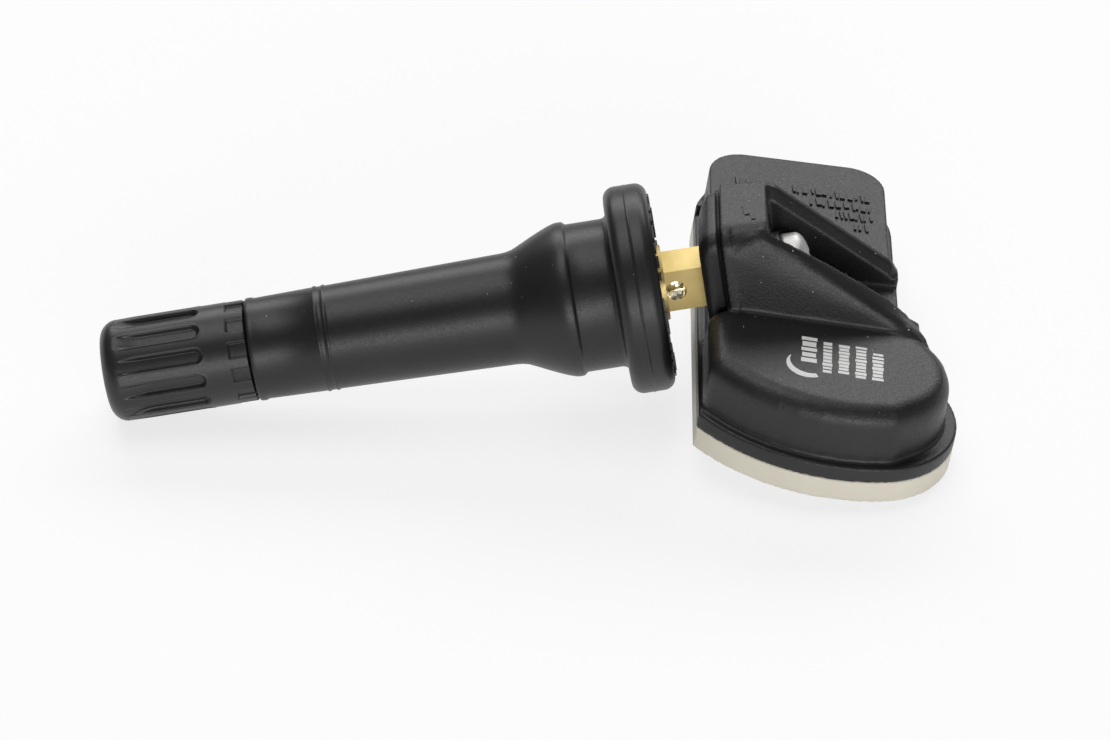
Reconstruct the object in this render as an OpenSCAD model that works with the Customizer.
// Tyre pressure sensor with a rubber snap-in valve.
// It lies as it comes to rest: on the rim of its valve cap and the far long edge of its base.
// The origin is on the valve's axis, at the face of the rubber flange that seats inside the rim.

/* [Posture] */
// Rise of the valve's axis from the cap towards the sensor, in degrees
stem_rise = 8.3; // [7:0.1:9]
// Turn of the valve's axis off square to the sensor's long side, in degrees
stem_yaw = 3.9; // [2:0.1:6]
// Lean of the sensor's base from level, its free edge down, in degrees
body_roll = 8; // [7:0.1:9]
// Turn of the sensor about the upright, in degrees
body_yaw = -0.7; // [-2:0.1:2]

/* [Rubber valve body] */
// Diameter of the flange that seals inside the rim
flange_d = 20; // [19:0.1:21]
// Thickness of that flange
flange_t = 4.2; // [3.5:0.1:5]
// Diameter of the neck that the rim hole grips
neck_d = 14.3; // [14:0.1:14.5]
// Length of the neck
neck_len = 4.2; // [3.8:0.1:5]
// Diameter of the bulb outside the rim
bulb_d = 14.9; // [14.6:0.1:15.6]
// Length of the taper from the bulb to the tube
taper_len = 6.1; // [5:0.1:8]
// Tube diameter next to the taper
tube_root_d = 10.75; // [10.4:0.05:11.4]
// Tube diameter at its free end
tube_tip_d = 9.75; // [9.7:0.05:10.3]
// Length of the tube
tube_len = 25.1; // [22:0.1:30]

/* [Brass valve stem] */
// Outside diameter of the cap thread
thread_d = 7.7; // [7.5:0.05:7.8]
// Length of stem that stands out of the rubber
thread_len = 11; // [10:0.1:11.4]
// Diameter of the stem inside the rubber
stem_d = 7.2; // [6.8:0.1:7.4]
// Diameter of the collar behind the flange
collar_d = 7.6; // [6.8:0.1:8.4]
// Width of the square shank
shank_w = 4.6; // [4.2:0.1:5]
// Length of shank between the flange and the sensor's boss
shank_gap = 4.3; // [3.8:0.1:5]
// Depth of the shank in the boss
shank_seat = 4; // [3:0.1:4.4]
// Diameter of the cross-drilled air hole
air_hole_d = 2; // [1.6:0.1:2.4]
// Diameter of the air bore along the stem
air_bore_d = 3.2; // [2.6:0.1:3.6]
// Diameter of the narrow air bore in the shank
shank_bore_d = 2.2; // [1.8:0.1:2.6]
// Diameter of the bore that the valve core screws into
core_bore_d = 5.24; // [5.1:0.02:5.4]

/* [Valve cap] */
// Outside diameter of the cap
cap_d = 9.8; // [9.7:0.05:10.4]
// Length of the cap
cap_len = 13.9; // [13.6:0.1:14.6]
// Number of grip flutes
flute_count = 12; // [8:1:14]
// Width of a flute
flute_w = 1.25; // [0.9:0.05:1.5]
// Length of a flute
flute_len = 7.9; // [6:0.1:8.5]
// Depth of a flute
flute_depth = 0.5; // [0.3:0.05:0.6]
// Number of blocks in the ring at the cap's mouth
block_count = 8; // [6:1:10]

/* [Valve core] */
// Diameter of the pin
pin_d = 1.1; // [0.9:0.05:1.2]
// Travel of the pin when it is pressed
pin_travel = 1.5; // [1:0.1:1.8]
// Outside diameter of the lower barrel
barrel_d = 3.9; // [3.7:0.1:4]
// Length of the lower barrel
barrel_len = 11.4; // [10:0.1:12]
// Wire diameter of the spring
spring_wire = 0.34; // [0.24:0.02:0.4]
// Turns of the spring
spring_turns = 7; // [5:1:9]

/* [Screw] */
// Thread diameter of the screw that holds the valve
screw_d = 2.9; // [2.6:0.1:3]
// Head diameter
screw_head_d = 6; // [5:0.1:6]
// Height of the head's straight side
screw_head_t = 1.7; // [1:0.1:2.4]

/* [Sensor housing] */
// Width of the housing across the battery end
body_w = 24.8; // [24.6:0.1:27]
// Width of the electronics end at its foot
tail_w = 19.8; // [19.4:0.1:20.4]
// Set-back of its upper wall from the foot, on the straight side
step_left = 0.9; // [0.4:0.1:1]
// Set-back on the other side
step_right = 1.2; // [0.8:0.1:1.4]
// Length of the straight left side, from the near corner to the tail's end
body_len = 40; // [39.4:0.1:41]
// Radius of the long near arc of the battery end
front_r = 18.6; // [18.4:0.1:19]
// Radius of the round right end of the battery end
lobe_r = 9; // [8.8:0.1:9.4]
// Thickness of the housing's foot flange
foot_t = 1.6; // [1.2:0.1:2]
// Width of the ledge between the flange's edge and the dome, on the near side
ledge_w = 0.9; // [0.6:0.1:1.2]
// Width of that ledge at the round right end
lobe_ledge = 1.4; // [1.2:0.1:1.8]
// Height of the dome over the base's underside
dome_h = 9.6; // [9.3:0.1:10.5]
// Radius of the dome's top edge
dome_fillet = 2; // [1.5:0.1:2]
// Height of the electronics end over the base's underside
tail_h = 7.5; // [7.3:0.1:8]
// Thickness of the housing's walls
wall = 1.3; // [1:0.1:1.4]

/* [Boss and screwdriver slot] */
// Height of the boss over the valve's axis
boss_h = 6.9; // [6.4:0.1:7.5]
// Width of the boss
boss_w = 8.8; // [8.4:0.1:9.4]
// Thickness of the boss between the shank's face and the screw head
boss_t = 6.7; // [6.5:0.1:7.2]
// Thickness of the round-cornered pad on the boss's face
pad_t = 1.9; // [1.5:0.1:2.2]
// Clear width of the slot
slot_w = 6.3; // [6.3:0.1:6.6]
// Height of the slot's floor over the base's underside
slot_floor = 8.6; // [8.5:0.1:8.8]
// Right end of the far ridge, from the straight side
far_ridge_end = 18.8; // [18:0.1:19.4]
// Right end of the near ridge, from the straight side
near_ridge_end = 20.6; // [20:0.1:21.2]

/* [Base cover] */
// Thickness of the base cover
cover_t = 2.3; // [2:0.1:2.6]
// Thickness of its floor
cover_floor = 1.1; // [0.9:0.1:1.3]
// Diameter of the pressure port
port_d = 1.6; // [1.2:0.1:2]

/* [Electronics] */
// Circuit board thickness
pcb_t = 0.8; // [0.6:0.1:1]
// Height of the board's underside over the base's underside
pcb_z = 3; // [2.9:0.1:3.1]
// Coin cell diameter
cell_d = 16; // [15.6:0.1:16]
// Coin cell thickness
cell_t = 3.2; // [2.5:0.1:3.2]
// Side of the square pressure sensor
chip_w = 6; // [5:0.1:7]
// Height of the pressure sensor
chip_t = 1.2; // [1:0.1:1.3]
// Length of the ferrite rod
ferrite_len = 9; // [7:0.1:11]
// Height of the ferrite rod
ferrite_h = 1.6; // [1.2:0.1:1.8]

/* [Hidden] */
$fn = 64;

// Clearances
bond_gap = 0.02;
fit_gap = 0.05;
seat_gap = 0.1;
cap_gap = 0.3;
eps = 0.01;

// Stations along the valve's axis, from the rim seat, positive towards the sensor
u_bulb = -neck_len;
u_taper = u_bulb - 0.7;
u_tube = u_taper - taper_len + 0.7;
u_tip = u_tube - tube_len;
u_mouth = u_tip - thread_len;
u_boss = flange_t + shank_gap;
u_shank_end = u_boss + shank_seat;
u_head = u_boss + boss_t;
u_air = flange_t + 1.4;
u_cap = u_tip - cap_gap - cap_len;

// Valve core stations
core_top = u_mouth + 0.8;
core_thread_len = 4.5;
barrel_top = core_top + core_thread_len + fit_gap;
barrel_end = barrel_top + barrel_len;
gasket_top = barrel_top + 2.6;
gasket_len = 1.6;
pin_tip = u_mouth + 0.4;
collar_top = barrel_top + 1.8;
collar_t = 0.5;
spring_room_d = 3;
pin_clear_d = 1.7;
cup_len = 1.5;
cup_d = 3.5;
pin_end = barrel_end + cup_len + 0.4;

// Sensor body, in its own level frame with its corner at the base's near-left corner
axis_at_boss = [-0.15, 14.33, 9.66];
valve_axis = [cos(stem_rise) * cos(stem_yaw), cos(stem_rise) * sin(stem_yaw), sin(stem_rise)];
foot_z = cover_t + foot_t;
arc_x = 13.5;
arc_y = sqrt(pow(front_r, 2) - pow(arc_x, 2)) + 0.3;
lobe_x = body_w - lobe_r;
lobe_y = arc_y - sqrt(pow(front_r - lobe_r, 2) - pow(lobe_x - arc_x, 2));
join_x = arc_x + (lobe_x - arc_x) * front_r / (front_r - lobe_r);
foot_corner = 5.8;
top_corner = 3.6;
cell_x = 13;
cell_y = 5.2;
room_gap = 0.4;
cell_z = pcb_z + pcb_t + 0.2;
tail_roof = tail_h - wall;
room_x = step_left + wall + 0.5;
room_w = tail_w - step_right - wall - room_x;
room_y = 10;
room_end = body_len - 2 * wall;
room_len = room_end - room_y;
slot_mid = axis_at_boss[1] + 0.62;
slot_y = slot_mid - slot_w / 2;
front_wall = 1.3;
screw_dome = 1.5;
rear_wall = 1.7;
post_d = 2;

// Places of the parts on the board, from the ends of the room
board_top = pcb_z + pcb_t;
port_x = room_x + 6.6;
port_y = room_end - 10.4;
tab_t = 0.15;
ferrite_w = ferrite_h * 1.5;
ferrite_x = room_x + 1;
ferrite_y = room_y + 7;
coil_len = ferrite_len - 2;
coil_t = 0.3;
antenna_h = tail_roof - board_top - 0.5;
antenna_y = room_end - 1.2;
antenna_leg = 0.6;

// Places a child in the valve's frame: its axis along X, the rim seat at the origin
module at_stem() {
    rotate([0, -stem_rise, stem_yaw]) children();
}

// Places a child in the sensor's own frame
module at_body() {
    translate(u_boss * valve_axis) rotate([0, body_roll, body_yaw])
        translate(-axis_at_boss) children();
}

// Places a child of the valve's frame inside a difference made in the sensor's frame
module stem_in_body() {
    translate(axis_at_boss) rotate([0, -body_roll, 0]) rotate([0, 0, -body_yaw])
        rotate([0, -stem_rise, stem_yaw]) translate([-u_boss, 0, 0]) children();
}

// Turns an outline of [station, radius] points about the valve's axis
module turned(points) {
    rotate([0, 90, 0]) rotate([0, 0, 180]) rotate_extrude()
        polygon([for (p = points) [p[1], p[0]]]);
}

module rod(from, to, d) {
    translate([from, 0, 0]) rotate([0, 90, 0]) cylinder(h = to - from, d = d);
}

// Points of an arc about [x, y], from angle a to angle b
function arc(x, y, r, a, b, n = 6) =
    [for (i = [0 : n]) [x + r * cos(a + (b - a) * i / n), y + r * sin(a + (b - a) * i / n)]];

// Valve

module flute() {
    from = u_cap + 1.3 + flute_w / 2;
    to = u_cap + 1.3 + flute_len - flute_w / 2;
    translate([0, 0, cap_d / 2 - flute_depth]) {
        for (end = [from, to]) translate([end, 0, 0]) cylinder(h = 2, d = flute_w, $fn = 24);
        translate([from, -flute_w / 2, 0]) cube([to - from, flute_w, 2]);
    }
}

module valve_cap() {
    mouth = u_cap + cap_len;
    block_from = mouth - 2.3;
    color([0.13, 0.13, 0.13]) at_stem() difference() {
        turned(concat(
            [[u_cap, 0]],
            arc(u_cap + 1.6, cap_d / 2 - 1.6, 1.6, 180, 90),
            [[mouth, cap_d / 2], [mouth, thread_d / 2 + cap_gap / 2],
             [u_mouth - 1, thread_d / 2 + cap_gap / 2], [u_mouth - 1, 0]]));
        for (i = [0 : flute_count - 1])
            rotate([15 + i * 360 / flute_count, 0, 0]) flute();
        for (i = [0 : block_count - 1])
            rotate([-1.5 + i * 360 / block_count, 0, 0])
                translate([block_from, -0.8, cap_d / 2 - 0.3]) cube([1.6, 1.6, 1]);
    }
}

module cap_seal() {
    color([0.08, 0.08, 0.08]) at_stem() difference() {
        rod(u_mouth - 1 + fit_gap, u_mouth - fit_gap, thread_d - 0.2);
        rod(u_mouth - 1.5, u_mouth + 0.5, 3.4);
    }
}

module rubber_body() {
    flange_r = flange_d / 2;
    ring_u = u_tip + 7.2;
    ring_r = (tube_tip_d + (tube_root_d - tube_tip_d) * 7.2 / tube_len) / 2;
    edge = 1.2;
    outer = concat(
        [[u_tip, tube_tip_d / 2 - 0.15], [u_tip + 0.2, tube_tip_d / 2 + 0.1],
         [u_tip + 0.7, tube_tip_d / 2 + 0.1], [u_tip + 0.9, tube_tip_d / 2],
         [ring_u - 0.3, ring_r], [ring_u - 0.1, ring_r + 0.08],
         [ring_u + 0.1, ring_r + 0.08], [ring_u + 0.3, ring_r],
         [u_tube, tube_root_d / 2],
         [u_tube + taper_len * 0.2, tube_root_d / 2 + 0.25],
         [u_taper - taper_len * 0.3, bulb_d / 2 - 0.8],
         [u_taper - taper_len * 0.1, bulb_d / 2 - 0.25],
         [u_taper, bulb_d / 2], [u_bulb, bulb_d / 2],
         [u_bulb + 0.25, neck_d / 2], [-0.5, neck_d / 2], [-0.15, neck_d / 2 + 0.15],
         [0, neck_d / 2 + 0.5]],
        arc(edge, flange_r - edge, edge, 180, 90),
        [[flange_t / 2 - 0.15, flange_r], [flange_t / 2, flange_r + 0.1],
         [flange_t / 2 + 0.15, flange_r]],
        arc(flange_t - edge, flange_r - edge, edge, 90, 0),
        [[flange_t, flange_r - 2.2], [flange_t - 0.25, flange_r - 2.4],
         [flange_t - 0.25, flange_r - 2.7], [flange_t, flange_r - 2.9]]);
    inner = [[flange_t, collar_d / 2 + bond_gap], [flange_t - 0.6, collar_d / 2 + bond_gap],
        [flange_t - 0.6, stem_d / 2 + 1 + bond_gap], [-2.4, stem_d / 2 + 1 + bond_gap],
        [-3.4, stem_d / 2 + bond_gap], [u_tip, stem_d / 2 + bond_gap]];
    color([0.14, 0.14, 0.14]) at_stem() turned(concat(outer, inner));
}

module valve_stem() {
    seat_u = gasket_top + 0.5;
    color([0.72, 0.6, 0.32]) at_stem() difference() {
        union() {
            turned([[u_mouth, 0], [u_mouth, thread_d / 2 - 0.6], [u_mouth + 0.6, thread_d / 2],
                [u_tip - 1.2, thread_d / 2], [u_tip - 0.8, stem_d / 2], [-3.4, stem_d / 2],
                [-2.4, stem_d / 2 + 1], [flange_t - 0.6 - bond_gap, stem_d / 2 + 1],
                [flange_t - 0.6 - bond_gap, collar_d / 2], [flange_t + 0.45, collar_d / 2],
                [flange_t + 0.45, 0]]);
            translate([flange_t, -shank_w / 2, -shank_w / 2])
                cube([u_shank_end - flange_t, shank_w, shank_w]);
        }
        turned([[u_mouth - eps, 0], [u_mouth - eps, core_bore_d / 2], [seat_u, core_bore_d / 2],
            [seat_u + 1, barrel_d / 2 + 0.3], [pin_end + pin_travel + 3, barrel_d / 2 + 0.3],
            [pin_end + pin_travel + 3.6, air_bore_d / 2], [1, air_bore_d / 2],
            [1.6, shank_bore_d / 2], [u_air + 0.7, shank_bore_d / 2], [u_air + 0.7, 0]]);
        translate([u_air, 0, 0]) rotate([90, 0, 0])
            cylinder(h = shank_w + 2, d = air_hole_d, center = true);
        rod(u_air + 2.1, u_shank_end + 1, screw_d + 2 * fit_gap);
    }
}

// Valve core

module core_housing() {
    color([0.75, 0.66, 0.42]) at_stem() difference() {
        rod(core_top, core_top + core_thread_len, core_bore_d - 2 * fit_gap);
        rod(core_top - 1, core_top + core_thread_len + 1, pin_clear_d);
        for (side = [-1, 1])
            translate([core_top - 1, side * core_bore_d * 0.42 - 1, -core_bore_d])
                cube([2.6, 2, core_bore_d * 2]);
    }
}

module core_barrel() {
    color([0.75, 0.66, 0.42]) at_stem() difference() {
        turned([[barrel_top, 0], [barrel_top, barrel_d / 2], [gasket_top + gasket_len, barrel_d / 2],
            [gasket_top + gasket_len, barrel_d / 2 + 0.2],
            [gasket_top + gasket_len + 0.4, barrel_d / 2 + 0.2],
            [gasket_top + gasket_len + 0.4, barrel_d / 2 - 0.1],
            [barrel_end, barrel_d / 2 - 0.1], [barrel_end, 0]]);
        rod(barrel_top - 1, barrel_end + 1, pin_clear_d);
        rod(barrel_top + 1.2, barrel_end - 1.2, spring_room_d);
    }
}

module core_gasket() {
    color([0.75, 0.2, 0.16]) at_stem() difference() {
        turned([[gasket_top, 0], [gasket_top, barrel_d / 2 + 0.45],
            [gasket_top + 0.5, core_bore_d / 2 - 0.04],
            [gasket_top + gasket_len - bond_gap, barrel_d / 2 + 0.2],
            [gasket_top + gasket_len - bond_gap, 0]]);
        rod(gasket_top - 1, gasket_top + gasket_len + 1, barrel_d + 2 * bond_gap);
    }
}

module core_pin() {
    color([0.78, 0.7, 0.5]) at_stem() {
        rod(pin_tip, pin_end, pin_d);
        rod(collar_top, collar_top + collar_t, spring_room_d - 0.6);
    }
}

module core_spring() {
    from = collar_top + collar_t + spring_wire / 2 + 0.03;
    to = barrel_end - 1.2 - spring_wire / 2 - 0.03;
    coil_r = (pin_d + spring_room_d) / 4 + 0.05;
    sides = 6;
    per_turn = 14;
    rings = spring_turns * per_turn;
    // A flat turn at each end, and an even pitch between
    function lift(i) = min(1, max(0, (i / per_turn - 0.8) / (spring_turns - 1.6)));
    points = [for (i = [0 : rings]) for (j = [0 : sides - 1])
        let (a = i * 360 / per_turn, t = (j + 0.5) * 360 / sides,
             r = coil_r + spring_wire / 2 * cos(t))
        [from + (to - from) * (i / rings * 0.12 + lift(i) * 0.88) + spring_wire / 2 * sin(t),
         r * cos(a), r * sin(a)]];
    faces = concat(
        [[for (j = [0 : sides - 1]) j]],
        [[for (j = [sides - 1 : -1 : 0]) rings * sides + j]],
        [for (i = [0 : rings - 1]) for (j = [0 : sides - 1])
            [i * sides + j, (i + 1) * sides + j,
             (i + 1) * sides + (j + 1) % sides, i * sides + (j + 1) % sides]]);
    color([0.7, 0.7, 0.72]) at_stem() polyhedron(points, faces);
}

module core_cup() {
    color([0.78, 0.7, 0.5]) at_stem() difference() {
        rod(barrel_end + 0.25, barrel_end + 0.25 + cup_len, cup_d);
        rod(barrel_end, barrel_end + 0.25 + cup_len - 0.7, cup_d - 0.6);
        rod(barrel_end, barrel_end + 3, pin_d + 2 * bond_gap);
    }
}

module cup_seal() {
    color([0.1, 0.1, 0.1]) at_stem() difference() {
        rod(barrel_end + bond_gap, barrel_end + 0.25 + cup_len - 0.7 - bond_gap,
            cup_d - 0.6 - 2 * bond_gap);
        rod(barrel_end - 1, barrel_end + 3, pin_d + 2 * bond_gap);
    }
}

module stem_screw() {
    color([0.75, 0.76, 0.78]) at_stem() difference() {
        union() {
            rod(u_air + 3, u_head + eps, screw_d);
            turned(concat(
                [[u_head, 0], [u_head, screw_head_d / 2 - 0.25], [u_head + 0.25, screw_head_d / 2],
                 [u_head + screw_head_t, screw_head_d / 2]],
                [for (i = [1 : 6]) [u_head + screw_head_t + screw_dome * sin(i * 13),
                    screw_head_d / 2 * cos(i * 13)]],
                [[u_head + screw_head_t + screw_dome, 0.4],
                 [u_head + screw_head_t + screw_dome, 0]]));
        }
        // Six-lobe drive recess
        for (i = [0 : 2]) rotate([i * 60, 0, 0])
            translate([u_head + screw_head_t - 0.3, -0.45, -1.25]) cube([3, 0.9, 2.5]);
    }
}

// Sensor outlines, seen from above

module base_outline() {
    difference() {
        union() {
            intersection() {
                translate([arc_x, arc_y]) circle(r = front_r, $fn = 128);
                translate([0, -10]) square([join_x, 10 + room_y]);
            }
            translate([lobe_x, lobe_y]) circle(r = lobe_r, $fn = 96);
            tail_outline(0, 0, foot_corner);
        }
        // The near arc's circle is wider than the straight left side
        translate([-body_w, -front_r]) square([body_w, body_len + 2 * front_r]);
    }
}

// The electronics end, set back from the foot at its left and right
module tail_outline(left, right, r) {
    width = tail_w - left - right;
    translate([left, lobe_y]) square([width, body_len - r - lobe_y]);
    translate([left + r, body_len - r - eps]) square([width - 2 * r, r + eps]);
    for (x = [left + r, tail_w - right - r])
        translate([x, body_len - r]) circle(r = r);
}

// A round block with a rounded top edge
module puck(r) {
    cylinder(h = 1, r = r);
    rotate_extrude() {
        square([r - dome_fillet, dome_h - foot_z]);
        translate([r - dome_fillet, dome_h - foot_z - dome_fillet])
            intersection() {
                circle(r = dome_fillet, $fn = 32);
                square(dome_fillet);
            }
        square([r, dome_h - foot_z - dome_fillet]);
    }
}

module dome() {
    r = dome_fillet + 0.05;
    reach = front_r - ledge_w - r;
    start = 180 + acos((arc_x - ledge_w / 3 - r) / reach);
    stop = 360 - acos((lobe_x - arc_x) / (front_r - lobe_r));
    steps = 8;
    translate([0, 0, foot_z - eps]) hull() {
        for (i = [0 : steps])
            translate([arc_x + reach * cos(start + (stop - start) * i / steps),
                       arc_y + reach * sin(start + (stop - start) * i / steps), 0])
                puck(r, $fn = 32);
        translate([lobe_x, lobe_y, 0]) puck(lobe_r - lobe_ledge, $fn = 48);
        translate([ledge_w / 3 + r, room_y + 1, 0]) puck(r, $fn = 32);
    }
}

// Side view of a ridge: level with the boss, then sloping to its low right end
module ridge_side(low_end, high) {
    polygon([[4, foot_z], [4, high - 1.5], [5.2, high], [6.4, high - 0.1],
        [far_ridge_end - 0.6, low_end + 0.3], [far_ridge_end, low_end - 0.4],
        [far_ridge_end, foot_z]]);
}

module boss() {
    low = -5.2;
    stem_in_body() {
        translate([u_boss, -boss_w / 2, low]) hull() {
            for (y = [1.2, boss_w - 1.2], z = [1.2, boss_h - low - 1.2])
                translate([0, y, z]) rotate([0, 90, 0]) cylinder(h = pad_t, r = 1.2, $fn = 24);
        }
        translate([u_boss + pad_t - eps, -boss_w / 2 + 0.2, low])
            cube([0.4, boss_w - 0.4, boss_h - low - 0.2]);
        translate([u_boss + pad_t + 0.25, -boss_w / 2, low])
            cube([boss_t - pad_t - 0.25, boss_w, boss_h - low]);
        translate([u_boss + pad_t + 0.25, -boss_w / 2 - 0.5, low])
            cube([1.4, 1, boss_h - low - 0.6]);
    }
}

module ridges() {
    rear_y = slot_y + slot_w;
    top = axis_at_boss[2] + boss_h;
    translate([0, rear_y + rear_wall, 0]) rotate([90, 0, 0])
        linear_extrude(height = rear_wall) ridge_side(10.8, top + 1.4);
    // The near ridge leans back from its foot on the dome
    hull() {
        translate([5, slot_y - front_wall + 0.1, top - 0.7]) cube([1, front_wall - 0.1, 0.5]);
        translate([4, slot_y - front_wall - 1.4, dome_h - 0.6])
            cube([near_ridge_end - 4, front_wall + 1.4, 0.2]);
        translate([4, slot_y - front_wall - 0.4, foot_z])
            cube([near_ridge_end - 4, front_wall + 0.4, 0.2]);
    }
}

module slot_cut() {
    rear_y = slot_y + slot_w;
    intersection() {
        translate([0, slot_y, slot_floor]) cube([body_w, rear_y - slot_y, 2 * dome_h]);
        stem_in_body() translate([u_head, -body_w, -body_w]) cube(2 * body_w);
    }
}

module housing() {
    color([0.16, 0.16, 0.16]) at_body() difference() {
        union() {
            translate([0, 0, cover_t]) linear_extrude(height = foot_t) base_outline();
            translate([0, 0, foot_z - eps])
                linear_extrude(height = tail_h - foot_z + eps)
                    tail_outline(step_left, step_right, top_corner);
            dome();
            translate([4, slot_y - front_wall, foot_z])
                cube([far_ridge_end - 4, slot_w + front_wall + rear_wall, slot_floor - foot_z]);
            ridges();
            boss();
        }
        slot_cut();
        // Room for the cell and for the electronics
        translate([cell_x, cell_y, cover_t - eps])
            cylinder(h = cell_z + cell_t + 0.3 - cover_t, d = cell_d + 2 * room_gap);
        translate([room_x, room_y, cover_t - eps])
            cube([room_w, room_len, tail_roof - cover_t]);
        // Square seat for the shank, and the screw's hole
        stem_in_body() {
            translate([u_boss - 3, -shank_w / 2 - fit_gap, -shank_w / 2 - fit_gap])
                cube([shank_seat + 3 + fit_gap, shank_w + 2 * fit_gap, shank_w + 2 * fit_gap]);
            rod(u_boss, u_head + 1, screw_d + 2 * seat_gap);
        }
        // Notch in the far end of the straight side
        translate([-1, body_len - 6.4, cover_t + 0.4]) cube([1.9, 1.5, 10]);
    }
}

module base_cover() {
    color([0.82, 0.8, 0.7]) at_body() {
        difference() {
            linear_extrude(height = cover_t) base_outline();
            translate([cell_x, cell_y, cover_floor])
                cylinder(h = cover_t, d = cell_d - 0.6);
            translate([room_x + 0.4, room_y, cover_floor])
                cube([room_w - 0.8, room_len - 0.4, cover_t]);
            translate([port_x, port_y, -1]) cylinder(h = cover_t + 2, d = port_d);
        }
        // Posts that carry the board
        for (p = [[cell_x - 5.5, cell_y - 3], [cell_x + 5.5, cell_y - 3], [4.4, 18],
                  [tail_w - 4, 20], [4.4, room_end - 2], [tail_w - 4, room_end - 2]])
            translate([p[0], p[1], cover_floor - eps])
                cylinder(h = pcb_z - cover_floor + eps, d = post_d);
    }
}

// Electronics

module circuit_board() {
    color([0.1, 0.35, 0.2]) at_body() translate([0, 0, pcb_z]) difference() {
        linear_extrude(height = pcb_t) union() {
            translate([cell_x, cell_y]) circle(d = cell_d - 0.4);
            translate([room_x + room_gap, room_y])
                square([room_w - 2 * room_gap, room_len - room_gap]);
        }
        translate([cell_x, cell_y - 3, -1]) cylinder(h = 3, d = 2.4);
    }
}

module coin_cell() {
    color([0.78, 0.79, 0.8]) at_body() translate([cell_x, cell_y, cell_z]) {
        cylinder(h = 0.5, d = cell_d - 2.4);
        translate([0, 0, 0.5 - eps]) cylinder(h = cell_t - 0.5 + eps, d = cell_d);
    }
}

module cell_tab_top() {
    top = cell_z + cell_t;
    leg_y = cell_y + cell_d / 2 + tab_t;
    color([0.7, 0.71, 0.72]) at_body() {
        translate([cell_x - 1, cell_y - 3, top]) cube([2, leg_y - cell_y + 3 + tab_t, tab_t]);
        translate([cell_x - 1, leg_y, board_top]) cube([2, tab_t, top - board_top + eps]);
    }
}

module cell_tab_bottom() {
    color([0.7, 0.71, 0.72]) at_body()
        translate([cell_x - cell_d * 0.37, cell_y - cell_d * 0.19, board_top])
        cube([cell_d * 0.19, cell_d / 2, cell_z - board_top]);
}

module sensor_chip() {
    color([0.15, 0.15, 0.16]) at_body() difference() {
        translate([port_x - chip_w / 2, port_y - chip_w / 2, pcb_z - chip_t])
            cube([chip_w, chip_w, chip_t]);
        translate([port_x, port_y, pcb_z - chip_t - eps]) cylinder(h = 0.5, d = 1);
    }
}

module port_seal() {
    color([0.25, 0.25, 0.27]) at_body() translate([port_x, port_y, cover_floor + 0.1])
        difference() {
            cylinder(h = pcb_z - chip_t - cover_floor - 0.1, d = 4.4);
            translate([0, 0, -1]) cylinder(h = 4, d = 1.8);
        }
}

module filter_membrane() {
    color([0.92, 0.92, 0.9]) at_body() translate([port_x, port_y, cover_floor])
        cylinder(h = 0.1, d = 4.4);
}

module ferrite_rod() {
    color([0.2, 0.2, 0.21]) at_body() translate([ferrite_x, ferrite_y, board_top])
        cube([ferrite_w, ferrite_len, ferrite_h]);
}

module coil_winding() {
    y = ferrite_y + (ferrite_len - coil_len) / 2;
    color([0.65, 0.35, 0.18]) at_body() difference() {
        translate([ferrite_x - coil_t, y, board_top])
            cube([ferrite_w + 2 * coil_t, coil_len, ferrite_h + coil_t]);
        translate([ferrite_x - bond_gap, ferrite_y, board_top - 1])
            cube([ferrite_w + 2 * bond_gap, ferrite_len, ferrite_h + 1 + bond_gap]);
    }
}

module radio_antenna() {
    from = room_x + 2;
    span = room_w - 4;
    color([0.75, 0.6, 0.35]) at_body() {
        for (x = [from, from + span - antenna_leg]) translate([x, antenna_y - 0.4, board_top])
            cube([antenna_leg, 0.8, antenna_h]);
        translate([from, antenna_y - 0.4, board_top + antenna_h - eps])
            cube([span, 0.8, antenna_leg / 2]);
    }
}

module crystal() {
    color([0.8, 0.8, 0.82]) at_body() translate([room_x + 7.6, room_end - 6.4, board_top])
        cube([3.2, 2.5, 0.8]);
}

module capacitors() {
    color([0.6, 0.5, 0.35]) at_body() for (i = [0 : 5])
        translate([room_x + 6 + (i % 3) * 2, room_y + 5.5 + floor(i / 3) * 2.2, board_top])
            cube([0.8, 1.6, 0.8]);
}

module resistors() {
    color([0.1, 0.1, 0.11]) at_body() for (i = [0 : 4])
        translate([room_x + 6.6 + i * 1.6, room_y + 10, board_top]) cube([0.8, 1.6, 0.45]);
}

valve_cap();
cap_seal();
rubber_body();
valve_stem();
core_housing();
core_barrel();
core_gasket();
core_pin();
core_spring();
core_cup();
cup_seal();
stem_screw();
housing();
base_cover();
circuit_board();
coin_cell();
cell_tab_top();
cell_tab_bottom();
sensor_chip();
port_seal();
filter_membrane();
ferrite_rod();
coil_winding();
radio_antenna();
crystal();
capacitors();
resistors();
